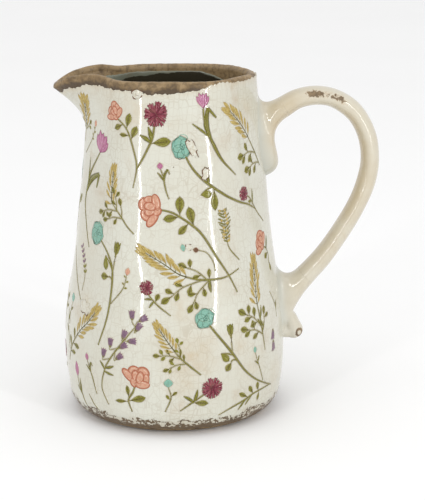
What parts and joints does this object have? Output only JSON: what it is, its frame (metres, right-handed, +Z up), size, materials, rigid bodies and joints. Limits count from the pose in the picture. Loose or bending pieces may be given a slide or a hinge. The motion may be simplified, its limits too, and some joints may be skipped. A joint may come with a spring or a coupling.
{
  "type": "ceramic pitcher",
  "caption": "Free-standing glazed pitcher with a softly lobed neck, a pulled pouring lip, a bare clay rim and foot, and a looped strap handle with a curled tail.",
  "frame": {"origin": "on the round foot's axis, at the plane that the pitcher stands on", "axes": "+Z up along the body's axis, +X towards the handle, -X towards the pouring lip, +Y across; the pitcher is the same on both sides of the XZ plane"},
  "size_m": [0.2088, 0.1432, 0.2227],
  "materials": {
    "body_glaze": "glossy off-white glaze with fine crackle and painted flowers",
    "handle_glaze": "glossy warm cream glaze",
    "bare_rim": "bare brown clay, worn and slightly rough",
    "bare_foot": "bare brown clay, worn and matt"
  },
  "bodies": {
    "root": {"foot_ring": "bare_foot", "base_slab": "body_glaze", "body_wall": "body_glaze", "rim_band": "bare_rim", "handle_upper_root": "handle_glaze", "handle_strap": "handle_glaze", "handle_lower_root": "handle_glaze", "handle_tail_scroll": "handle_glaze"}
  },
  "joints": []
}
